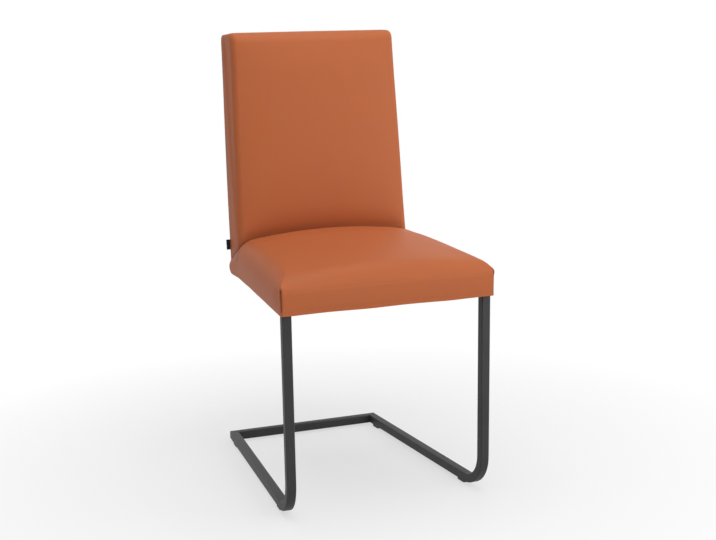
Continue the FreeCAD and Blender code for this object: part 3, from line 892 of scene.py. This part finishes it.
@dataclass
class SeatCushion(Cushion):
    """The leather-covered seat: a crowned box with a dart seam at each front corner.

    crowns and rises give its section at places along the depth: the height of the middle
    line, and how far that stands above the sides' top. corner_share is the radius of the
    shoulders, as a share of the rise. Towards the front, over rounding, they run into the
    edge_ values. The underside has its side lift, its waves and the recess behind the hem.
    dart_, pucker_ and tip_ values are the front corner seams', their puckers' and the small
    points above them; _hold and _run say how far from a seam the cover is held and over what
    length it comes free. The darts' dark lines carry painted shade in their grooves, pucker_shade
    is painted shade in the puckers, and back_line and back_shade place a band of painted shade
    on the seat along the back's front.
    """

    underside: float = 423.6
    side_cover: float = 3.5
    overhang: float = 5.5
    front_face: float = -7.5
    rear: float = 456.0
    bulge: float = 4.0
    front_bulge: float = 0.3
    face_bulge: float = 2.0
    face_bulge_height: float = 30.0
    rounding: float = 42.0
    nose_power: float = 2.5
    edge_crown: float = 470.0
    edge_rise: float = 4.0
    edge_corner: float = 3.0
    corner_room: float = 0.6
    rise_ease: float = 0.52
    corner_share: float = 0.78
    crowns: tuple = ((29.5, 509.0), (113.1, 515.5), (196.7, 520.5), (280.4, 524.0),
                     (364.0, 522.0), (423.8, 492.0), (456.0, 462.0))
    rises: tuple = ((29.5, 43.0), (113.1, 46.0), (196.7, 47.0), (280.4, 50.0),
                    (364.0, 54.0), (423.8, 46.0), (456.0, 24.0))
    side_lift: float = 6.0
    lift_start: float = 40.0
    lift_run: float = 300.0
    fall_start: float = 345.0
    fall_run: float = 100.0
    front_sag: float = 0.5
    front_wave: float = 27.0
    front_reach: float = 30.0
    side_sag: float = 0.4
    side_wave: float = 19.0
    rail_gap: float = 4.5
    hem_depth: float = 1.5
    hem_start: float = 8.0
    hem_run: float = 4.0
    front_edge: float = 1.2
    rear_edge: float = 12.0
    bottom_edge: float = 1.4
    dart_top: float = 482.0
    dart_width: float = 2.1
    dart_depth: float = 2.2
    dart_fade: float = 1.2
    dart_shade: float = 2.2
    dart_hold: float = 4.0
    low_run: float = 12.0
    low_share: float = 0.35
    pucker_depth: float = 0.9
    pucker_size: float = 3.2
    pucker_drop: float = 2.0
    pucker_shade: float = 0.5
    tip_reach: float = 2.2
    tip_size: float = 10.0
    tip_inset: float = 2.0
    tip_drop: float = 3.0
    # back_line and back_shade: band of painted shade on the seat where the back stands on it
    back_line: float = 364.0
    back_shade: float = 14.0
    top_start: float = 40.0
    hem_hold: float = 9.0
    hold_run: float = 5.0
    back_hold: float = 25.0
    back_run: float = 20.0
    box_top: float = 516.0
    core: tuple = ((-170.0, 50.0, 442.0), (170.0, 415.0, 448.0))

    def half(self, y: Array) -> Array:
        """Half width of the bottom edge at depth y."""
        front = self.chair.frame_front_half + self.side_cover
        return front - (y + self.overhang) * math.tan(self.chair.taper)

    def section(self, y: Array) -> tuple[Array, Array, Array, Array]:
        """Section of the seat at depth y.

        Args:
            y: depths in millimetres.

        Returns:
            Height of the crown, rise of the crown, radius of the shoulders, and side bulge.
        """
        back = np.clip((y - self.front_face) / self.rounding, 0, 1)
        turn = np.sqrt(1 - (1 - back) ** self.nose_power)
        crown = curve(y, list(self.crowns))
        crown = np.where(back < 1, self.edge_crown + (crown - self.edge_crown) * turn, crown)
        rise = curve(y, list(self.rises))
        eased = self.edge_rise + (rise - self.edge_rise) * back ** self.rise_ease
        rise = np.where(back < 1, eased, rise)
        corner = curve(y, list(self.rises)) * self.corner_share
        corner = np.where(back < 1, self.edge_corner + (corner - self.edge_corner) * back, corner)
        bulge = self.front_bulge + (self.bulge - self.front_bulge) * back
        return crown, rise, np.minimum(corner, rise - self.corner_room), bulge

    def top(self, x: Array, y: Array) -> Array:
        """Height of the top surface, down to the sides' top."""
        crown, rise, corner, bulge = self.section(y)
        return crown - rise + section_height(np.abs(x), self.half(y) + bulge, rise, corner)

    def bottom(self, x: Array, y: Array) -> Array:
        """Height of the bottom edge, which the staples under the frame pull into slow waves.

        Along the sides the leather rises, but only outside the steel rail that it wraps.
        Further in it lies a little higher, behind the dust cloth.

        Args:
            x: places across the seat.
            y: depths.

        Returns:
            Heights of the leather's lowest surface.
        """
        along = np.clip((y - self.lift_start) / self.lift_run, 0, 1)
        along -= np.clip((y - self.fall_start) / self.fall_run, 0, 1)
        edge = np.clip((np.abs(x) - self.half(y)) / self.rail_gap + 1, 0, 1)
        to_edge = np.minimum(self.half(y) - np.abs(x), np.minimum(y - self.front_face,
                                                                  self.rear - y))
        inner = np.clip((to_edge - self.hem_start) / self.hem_run, 0, 1)
        front = bell(y - self.front_face, self.front_reach)
        sag = self.front_sag * np.sin(x / self.front_wave) * front
        sag += self.side_sag * np.sin(y / self.side_wave) * along
        rise = self.side_lift * along * edge ** 2 * (3 - 2 * edge)
        return self.underside + rise + sag * (1 - inner) + self.hem_depth * inner

    def outside(self, p: Array) -> Array:
        """Signed distance from the seat's surface.

        Args:
            p: N by 3 points in chair millimetres.

        Returns:
            Distances in millimetres, positive outside.
        """
        x, y, z = np.abs(p[:, 0]), p[:, 1], p[:, 2]
        crown, rise, corner, bulge = self.section(y)
        side = crown - rise
        foot = self.half(y)
        low = np.clip((side - z) / (side - self.underside), 0, 1)
        body = section_distance(x, z - side, foot + bulge, rise, corner)
        body = np.where(z > side, body, x - (foot + bulge * (1 - low ** 2)))
        low = np.clip(1 - (z - self.underside) / self.face_bulge_height, 0, 1)
        front = self.front_face + self.face_bulge * low ** 2 - y
        body = smooth_max(body, front, self.front_edge)
        tip = np.sqrt((x - foot) ** 2 + (y - self.front_face - self.tip_inset) ** 2
                      + (z - self.dart_top + self.tip_drop) ** 2)
        body -= self.tip_reach * bell(tip, self.tip_size)
        body = smooth_max(body, y - self.rear, self.rear_edge)
        return smooth_max(body, self.bottom(p[:, 0], y) - z, self.bottom_edge)

    def seam(self, p: Array) -> tuple[Array, Array]:
        """Depth and dark lines of the dart seams at the front corners, with painted shade in
        their grooves and puckers, and a band of painted shade on the seat along the back's front.

        Args:
            p: N by 3 points on the leather.

        Returns:
            Depth in millimetres and darkness from 0 to 1.
        """
        x, y, z = np.abs(p[:, 0]), p[:, 1], p[:, 2]
        foot = self.half(np.full_like(y, self.front_face)) + self.front_bulge
        distance = np.hypot(x - foot, y - self.front_face)
        fade = 1 / (1 + np.exp((z - self.dart_top) / self.dart_fade))
        low = np.clip((z - self.underside) / self.low_run, self.low_share, 1)
        to_tip = np.hypot(distance, z - self.dart_top + self.pucker_drop)
        pucker = bell(to_tip, self.pucker_size)
        depth = (self.dart_depth * bell(distance, self.dart_width) * fade * low
                 + self.pucker_depth * pucker)
        # dark seam line of each dart with painted shade in its groove, and painted shade in the
        # pucker
        dark = bell(distance, self.dart_shade) * fade * low + self.pucker_shade * pucker
        # painted shade on the seat where the back stands on it
        painted_shade_by_back = bell(y - self.back_line, self.back_shade)
        painted_shade_by_back *= z > self.underside + self.top_start
        return depth, np.maximum(np.clip(dark, 0, 1), painted_shade_by_back * self.painted_shade_level)

    def held(self, p: Array) -> Array:
        """How firmly the hem, the darts and the back's foot hold the seat's cover.

        Args:
            p: N by 3 points on the leather.

        Returns:
            0 where it is free to 1 where it is fixed.
        """
        x, y, z = np.abs(p[:, 0]), p[:, 1], p[:, 2]
        hem = np.clip((self.underside + self.hem_hold - z) / self.hold_run, 0, 1)
        dart = bell(np.hypot(x - self.half(y), y - self.front_face), self.dart_hold)
        dart *= z < self.dart_top + self.dart_hold
        under_back = np.clip((y - self.back_line + self.back_hold) / self.back_run, 0, 1)
        under_back *= z > self.underside + self.back_run
        return np.clip(np.maximum(np.maximum(hem, dart), under_back), 0, 1)

    def build(self) -> None:
        """Make the seat's leather cover with its filling's form."""
        low = np.array([-self.half(0), self.front_face, self.underside])
        high = np.array([self.half(0), self.rear, self.box_top])

        def tapered(points: Array) -> Array:
            """Box points drawn in to the seat's taper."""
            return points * np.stack([self.half(points[:, 1]) / self.half(0),
                                      *np.ones((2, len(points)))], 1)

        seat = self.cover("seat_leather", low, high, self.core, tapered)
        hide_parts("seat_cover", "seat_wadding", "seat_foam")


@dataclass(kw_only=True)
class BackCushion(Cushion):
    """The leather-covered back, leaning over the seat's rear slope.

    It is drawn upright: Y from its front to the rear, Z up from where the seat meets it.
    belly is the filling's swell of the front, tuck how far the leather is drawn in above the
    seat. panel_ values are the rear panel's; _hold and _run say how far from a seam the cover
    is held and over what length it comes free.
    """

    seat: SeatCushion
    front: float = 364.0
    pivot_height: float = 522.0
    lean: float = 6.0
    thickness: float = 84.0
    height: float = 425.4
    foot: float = 62.0
    side_step: float = 4.3
    narrowing: float = 22.0
    corner: float = 13.0
    crown: float = 5.0
    top_crown: float = 1.5
    top_rounding: float = 26.0
    top_corner: float = 7.0
    side_swell: float = 1.1
    swell_place: float = 1.25
    swell_depth: float = 20.0
    belly: float = 8.0
    belly_foot: float = 150.0
    belly_top: float = 90.0
    belly_margin: float = 8.0
    belly_power: float = 2.4
    seat_gap: float = 0.3
    seat_slope: float = 0.8
    seat_edge: float = 2.5
    behind_seat: float = 4.0
    top_edge: float = 1.5
    rear_edge: float = 1.6
    foot_edge: float = 3.0
    panel_depth: float = 5.0
    panel_margin: float = 1.2
    panel_crown: float = 2.5
    panel_edge: float = 2.2
    panel_front_edge: float = 1.0
    panel_gap: float = 1.5
    panel_seat_edge: float = 2.0
    panel_crowding: float = 0.95
    fold_width: float = 1.5
    fold_run: float = 1.6
    # reach of the painted shade on the sides, from the rear seam towards the front
    fold_shade: float = 30.0
    tuck: float = 7.5
    tuck_height: float = 28.0
    tuck_power: int = 8
    seam_hold: float = 5.0
    seam_run: float = 4.0
    seat_hold: float = 14.0
    seat_run: float = 10.0
    # reach of the painted shade above the line where the back stands on the seat
    seat_shade: float = 14.0
    core: tuple = ((-150.0, 30.0, 40.0), (150.0, 45.0, 380.0))
    panel_core: tuple = ((-165.0, -0.5, 0.0), (165.0, 0.5, 405.0))

    def half(self, z: Array) -> Array:
        """Half width of the back.

        Args:
            z: heights in the back's own axes.

        Returns:
            Half widths at those heights.
        """
        foot_half = (self.chair.frame_front_half + self.seat.side_cover
                     - self.front * math.tan(self.chair.taper) - self.side_step)
        share = (z + self.foot) / (self.height + self.foot)
        swell = self.side_swell * np.sin(np.clip(share * self.swell_place, 0, 1) * math.pi)
        return foot_half - self.narrowing / 2 * share + swell

    def to_chair(self, local: Array) -> Array:
        """Lean points of the upright back.

        Args:
            local: N by 3 points in the back's own axes.

        Returns:
            The points in chair millimetres.
        """
        tilt = math.radians(self.lean)
        y, z = local[:, 1], local[:, 2]
        return np.stack([local[:, 0],
                         self.front + y * math.cos(tilt) + z * math.sin(tilt),
                         self.pivot_height - y * math.sin(tilt) + z * math.cos(tilt)], 1)

    def to_own(self, points: Array) -> Array:
        """Set points of the leaning back upright.

        Args:
            points: N by 3 points in chair millimetres.

        Returns:
            The points in the back's own axes.
        """
        tilt = math.radians(self.lean)
        y, z = points[:, 1] - self.front, points[:, 2] - self.pivot_height
        return np.stack([points[:, 0], y * math.cos(tilt) - z * math.sin(tilt),
                         y * math.sin(tilt) + z * math.cos(tilt)], 1)

    def into_seat(self, p: Array, gap: float) -> Array:
        """How far points of the upright back lie inside the seat.

        Args:
            p: N by 3 points in the back's own axes.
            gap: millimetres added all round the seat.

        Returns:
            Depths below the seat's surface, negative above it.
        """
        chair = self.to_chair(p)
        top = self.seat.top(chair[:, 0], np.minimum(chair[:, 1], self.seat.rear))
        behind = self.seat.rear + self.behind_seat + gap - chair[:, 1]
        return np.minimum(top + gap - chair[:, 2], behind)

    def swell(self, p: Array) -> Array:
        """How far the filling swells the front, and the seam on the seat draws it in.

        Args:
            p: N by 3 points in the back's own axes.

        Returns:
            Millimetres beyond the plain crown.
        """
        x, z = np.abs(p[:, 0]), p[:, 2]
        low = np.clip(z / self.belly_foot, 0, 1)
        high = np.clip((self.height - self.belly_margin - z) / self.belly_top, 0, 1)
        across = np.clip(1 - (x / self.half(z)) ** self.belly_power, 0, 1)
        swell = self.belly * across * np.sin(low * math.pi / 2) * np.sin(high * math.pi / 2)
        inner = np.clip(1 - (x / self.half(z)) ** self.tuck_power, 0, 1)
        return swell - self.tuck * inner * bell(self.into_seat(p, 0.0), self.tuck_height)

    def outside(self, p: Array) -> Array:
        """Signed distance from the cover's surface.

        Args:
            p: N by 3 points in the back's own axes.

        Returns:
            Distances in millimetres, positive outside.
        """
        x, y, z = np.abs(p[:, 0]), p[:, 1], p[:, 2]
        up = np.clip((z - self.height + self.top_rounding) / self.top_rounding, 0, 1)
        forward = 1 - np.sqrt(1 - up ** 2)
        crown = self.crown - (self.crown - self.top_crown) * up
        half = self.half(z) - self.top_corner * forward ** 2
        side = self.top_rounding * forward + self.corner + crown
        body = section_distance(x, side - y, half, self.corner + crown,
                                np.full_like(x, self.corner))
        body -= self.swell(p) * np.clip((self.thickness / 2 - y) / self.swell_depth, 0, 1)
        body = smooth_max(body, z - self.height, self.top_edge)
        body = smooth_max(body, y - (self.thickness - self.panel_depth / 2), self.rear_edge)
        body = smooth_max(body, -self.foot - z, self.foot_edge)
        on_seat = self.into_seat(p, self.seat_gap) * self.seat_slope
        return smooth_max(body, on_seat, self.seat_edge)

    def panel_outside(self, p: Array) -> Array:
        """Signed distance from the rear panel.

        Args:
            p: N by 3 points in the back's own axes.

        Returns:
            Distances in millimetres, positive outside.
        """
        x, y, z = np.abs(p[:, 0]), p[:, 1], p[:, 2]
        middle = (self.height - self.foot) / 2
        across = np.clip(1 - (x / self.half(z)) ** 2, 0, 1)
        along = np.clip(1 - ((z - middle) / (middle + self.foot)) ** 2, 0, 1)
        rear = self.thickness + self.panel_crown * np.sqrt(across * along)
        body = smooth_max(y - rear, x - (self.half(z) - self.panel_margin), self.panel_edge)
        body = smooth_max(body, z - (self.height - self.panel_margin), self.panel_edge)
        body = smooth_max(body, -self.foot + self.panel_margin - z, self.panel_edge)
        body = smooth_max(body, self.thickness - self.panel_depth - y, self.panel_front_edge)
        on_seat = self.into_seat(p, self.panel_gap) * self.seat_slope
        return smooth_max(body, on_seat, self.panel_seat_edge)

    def held(self, p: Array) -> Array:
        """How firmly the rear seam and the line on the seat hold the back's cover.

        Args:
            p: N by 3 points in the back's own axes.

        Returns:
            0 where it is free to 1 where it is fixed.
        """
        seam_start = self.thickness - self.panel_depth - self.seam_hold
        seam = np.clip((p[:, 1] - seam_start) / self.seam_run, 0, 1)
        foot = np.clip((self.into_seat(p, 0.0) + self.seat_hold) / self.seat_run, 0, 1)
        return np.maximum(seam, foot)

    def seam(self, p: Array) -> tuple[Array, Array]:
        """Dark rear seam line, and painted shade on the sides towards the rear seam and above the
        line on the seat.

        Args:
            p: N by 3 points in the back's own axes.

        Returns:
            Depth, which is 0, and darkness from 0 to 1.
        """
        to_fold = self.thickness - self.panel_depth / 2 - p[:, 1]
        fold = np.clip(1 - to_fold / self.fold_run, 0, 1)
        # painted shade on the back's sides, fading from the rear seam towards the front
        painted_side_shade = np.clip(1 - to_fold / self.fold_shade, 0, 1)
        # painted shade on the back just above the line where it stands on the seat
        painted_contact_shade = bell(self.into_seat(p, 0.0), self.seat_shade)
        shade = np.maximum(painted_side_shade, painted_contact_shade) * self.painted_shade_level
        return np.zeros(len(p)), np.maximum(fold, shade)

    def build(self) -> None:
        """Make the back's cover, with its filling's form, and the rear panel."""
        half = self.half(0.0)
        low = np.array([-half, 0.0, -self.foot])
        high = np.array([half, self.thickness, self.height])
        back = self.cover("back_leather", low, high, self.core)
        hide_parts("back_cover", "back_wadding", "back_foam")
        self.rear_panel(low, high)

    def rear_panel(self, low: Array, high: Array) -> None:
        """Make the leather panel that closes the back from behind.

        Args:
            low: lowest corner of the upright back.
            high: highest corner.
        """
        low = np.array([low[0], self.thickness - self.panel_depth, low[2]])
        bm, start = box_shell(self.cells // 2, low, high, self.panel_crowding)
        middle = np.array([0.0, self.thickness - self.panel_depth / 2, 0.0])
        core = np.clip(start, *(middle + corner for corner in self.panel_core))
        points = press_out(start, core, self.panel_outside)
        panel = self.leather("back_rear_leather", bm, points)
        edge = self.thickness - self.panel_depth
        self.darken(panel, bell(points[:, 1] - edge, self.fold_width))
        smoothed_to_size(panel)
        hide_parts("back_rear_cover")


@dataclass
class Underside:
    """Staples that hold the dust cloth and the leather's hem under the seat."""

    chair: Chair
    staple_length: float = 10.0
    wire: float = 1.1
    pitch: float = 28.0
    height: float = 0.8
    rounding: float = 0.3
    slant: float = 0.15
    inside_cloth: float = 6.0

    def rows(self) -> list[tuple[Vector, Vector]]:
        """Place the four rows of staples along the dust cloth's edges.

        Returns:
            Start and end of each row, in chair millimetres.
        """
        low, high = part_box("seat_dust_cover")
        margin = self.inside_cloth
        front_y = low[1] / MM + self.chair.depth_centre + margin
        rear_y = high[1] / MM + self.chair.depth_centre - margin
        slope = math.tan(self.chair.taper)
        front_x = high[0] / MM - margin - slope * margin
        rear_x = front_x - (rear_y - front_y) * slope
        z = low[2] / MM
        corners = [Vector((x, y, z)) for x, y in ((-front_x, front_y), (front_x, front_y),
                                                  (rear_x, rear_y), (-rear_x, rear_y))]
        return list(zip(corners, corners[1:] + corners[:1]))

    def build(self) -> None:
        """Make the staples as one piece of small bars."""
        bm = bmesh.new()
        rng = np.random.default_rng(3)
        for start, end in self.rows():
            run = end - start
            count = int(run.length // self.pitch)
            for k in range(count):
                place = start + run * ((k + 0.5) / count)
                turn = math.atan2(run.y, run.x) + rng.uniform(-self.slant, self.slant)
                bar = bmesh.ops.create_cube(bm, size=1.0)["verts"]
                bmesh.ops.scale(bm, verts=bar, vec=(self.staple_length, self.wire, self.height))
                bmesh.ops.rotate(bm, verts=bar, cent=(0, 0, 0),
                                 matrix=Matrix.Rotation(turn, 3, "Z"))
                bmesh.ops.translate(bm, verts=bar, vec=place)
        bmesh.ops.bevel(bm, geom=list(bm.edges), offset=self.rounding, segments=1, profile=0.5,
                        affect="EDGES", material=-1)
        for vertex in bm.verts:
            vertex.co = self.chair.to_scene(np.array(vertex.co))
        self.chair.piece("dust_cloth_staples", bm, Slot.ZINC, smooth=False)


def seen_plainly(nodes: Nodes) -> bpy.types.NodeSocket:
    """Tell the rays of the camera, of mirrors and of glass from rays that bring light.

    Args:
        nodes: nodes of the floor or the world.

    Returns:
        Socket with 1 for the first kind and 0 for the second.
    """
    path = nodes.add("LightPath")
    total = path.outputs["Is Camera Ray"]
    for name in ("Is Glossy Ray", "Is Transmission Ray"):
        either = nodes.add("Math", {0: total, 1: path.outputs[name]}, operation="MAXIMUM")
        total = either.outputs["Value"]
    return total


@dataclass(frozen=True)
class SoftLight:
    """Square soft light: where it hangs and its edge in metres, and its power in watts."""

    name: str
    place: tuple[float, float, float]
    size: float
    power: float


@dataclass
class Studio:
    """Plain white studio with the camera at the photograph's angle.

    The camera's place is in chair millimetres and its frame in pixels of the photograph.
    """

    chair: Chair
    focal_px: float = 1327.47
    centre_x: float = 363.16
    centre_y: float = 352.66
    width_px: int = 716
    height_px: int = 540
    yaw: float = 21.048
    pitch: float = 14.628
    roll: float = -0.874
    place: tuple[float, float, float] = (-961.66, -2351.68, 991.69)
    target: tuple[float, float, float] = (0.0, 0.0, 0.5)
    world_level: float = 0.2
    shadow_share: float = 0.4
    shadow_from: float = 0.45
    shadow_to: float = 1.1
    sensor: float = 36.0
    sight: float = 100.0
    floor_size: float = 40.0
    floor_gap: float = 0.5 * MM
    lights: tuple[SoftLight, ...] = (
        SoftLight("overhead", (0.0, -0.3, 3.2), 2.4, 43.0),
        SoftLight("front_top", (0.0, -2.6, 2.9), 2.0, 21.0),
        SoftLight("front_right", (2.2, -2.4, 1.2), 1.8, 36.0),
        SoftLight("right", (2.9, -0.6, 1.3), 1.8, 10.0),
        SoftLight("low_front", (-0.3, -3.2, 0.5), 1.6, 6.0),
        SoftLight("rear_left", (-2.0, 2.2, 2.0), 1.8, 3.5),
        SoftLight("left", (-2.9, -0.6, 1.3), 1.8, 5.0),
        SoftLight("rear_right", (2.0, 2.2, 2.0), 1.8, 2.0),
    )

    def camera(self) -> None:
        """Place the camera, with its centre where the photograph's lens had it."""
        yaw, pitch, roll = (math.radians(a) for a in (self.yaw, self.pitch, self.roll))
        forward = Vector((math.sin(yaw) * math.cos(pitch), math.cos(yaw) * math.cos(pitch),
                          -math.sin(pitch)))
        level = Vector((math.cos(yaw), -math.sin(yaw), 0.0))
        up = level.cross(forward)
        right = math.cos(roll) * level + math.sin(roll) * up
        top = -math.sin(roll) * level + math.cos(roll) * up
        data = bpy.data.cameras.new("camera")
        data.sensor_width = self.sensor
        data.lens = data.sensor_width * self.focal_px / self.width_px
        data.shift_x = (self.width_px / 2 - self.centre_x) / self.width_px
        data.shift_y = (self.centre_y - self.height_px / 2) / self.width_px
        data.clip_end = self.sight
        camera = bpy.data.objects.new("camera", data)
        turn = Matrix((right, top, -forward)).transposed().to_4x4()
        camera.matrix_world = Matrix.Translation(self.chair.to_scene(np.array(self.place))) @ turn
        bpy.context.scene.collection.objects.link(camera)
        bpy.context.scene.camera = camera

    def floor(self) -> None:
        """Lay a pale floor, plain white to the camera apart from the chair's soft shadow."""
        bm = bmesh.new()
        bmesh.ops.create_grid(bm, x_segments=1, y_segments=1, size=self.floor_size)
        bmesh.ops.translate(bm, verts=bm.verts, vec=(0, 0, -self.floor_gap))
        mesh = bpy.data.meshes.new("floor")
        bm.to_mesh(mesh)
        bm.free()
        material, nodes = new_material("pale_studio_floor")
        paint = nodes.add("BsdfPrincipled", {"Base Color": linear("#F2F2F2"), "Roughness": 0.9,
                                             "Specular IOR Level": 0.1})
        white = nodes.add("Emission", {"Color": WHITE, "Strength": 1.0})
        place = nodes.add("TexCoord").outputs["Object"]
        distance = nodes.add("VectorMath", {0: place}, operation="LENGTH")
        share = nodes.add("MapRange", {"Value": distance.outputs["Value"],
                                       "From Min": self.shadow_from, "From Max": self.shadow_to,
                                       "To Min": 1 - self.shadow_share, "To Max": 1.0})
        seen = nodes.add("Math", {0: seen_plainly(nodes), 1: share.outputs["Result"]},
                         operation="MULTIPLY")
        mix = nodes.add("MixShader", {"Fac": seen.outputs["Value"], 1: paint.outputs["BSDF"],
                                      2: white.outputs["Emission"]})
        nodes.add("OutputMaterial", {"Surface": mix.outputs["Shader"]})
        mesh.materials.append(material)
        floor = bpy.data.objects.new("floor", mesh)
        bpy.context.scene.collection.objects.link(floor)

    def world(self) -> None:
        """Surround the chair evenly, in what the camera and mirrors see as plain white."""
        world = bpy.data.worlds.new("studio")
        world.use_nodes = True
        nodes = Nodes(world.node_tree)
        fill = nodes.add("Background", {"Color": WHITE, "Strength": self.world_level})
        white = nodes.add("Background", {"Color": WHITE, "Strength": 1.0})
        mix = nodes.add("MixShader", {"Fac": seen_plainly(nodes), 1: fill.outputs["Background"],
                                      2: white.outputs["Background"]})
        nodes.add("OutputWorld", {"Surface": mix.outputs["Shader"]})
        bpy.context.scene.world = world

    def lamp(self, light: SoftLight) -> None:
        """Hang one soft light, pointing at the chair.

        Args:
            light: its place, size and power.
        """
        data = bpy.data.lights.new(light.name, "AREA")
        data.shape = "SQUARE"
        data.size = light.size
        data.energy = light.power
        lamp = bpy.data.objects.new(light.name, data)
        lamp.location = light.place
        way = Vector(self.target) - Vector(light.place)
        lamp.rotation_euler = way.to_track_quat("-Z", "Y").to_euler()
        bpy.context.scene.collection.objects.link(lamp)

    def build(self) -> None:
        """Set up the whole studio."""
        self.camera()
        self.floor()
        self.world()
        for light in self.lights:
            self.lamp(light)
        bpy.context.scene.view_settings.view_transform = "Standard"


def main() -> None:
    """Build the chair's looks and the studio."""
    logging.basicConfig(level=logging.INFO)
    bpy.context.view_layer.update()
    chair = Chair()
    chair.dress()
    seat = SeatCushion(chair)
    for part in (SteelFrame(chair), seat, BackCushion(chair, seat=seat), Underside(chair),
                 Studio(chair)):
        part.build()
        log.info("%s done", type(part).__name__)


if __name__ == "__main__":
    main()
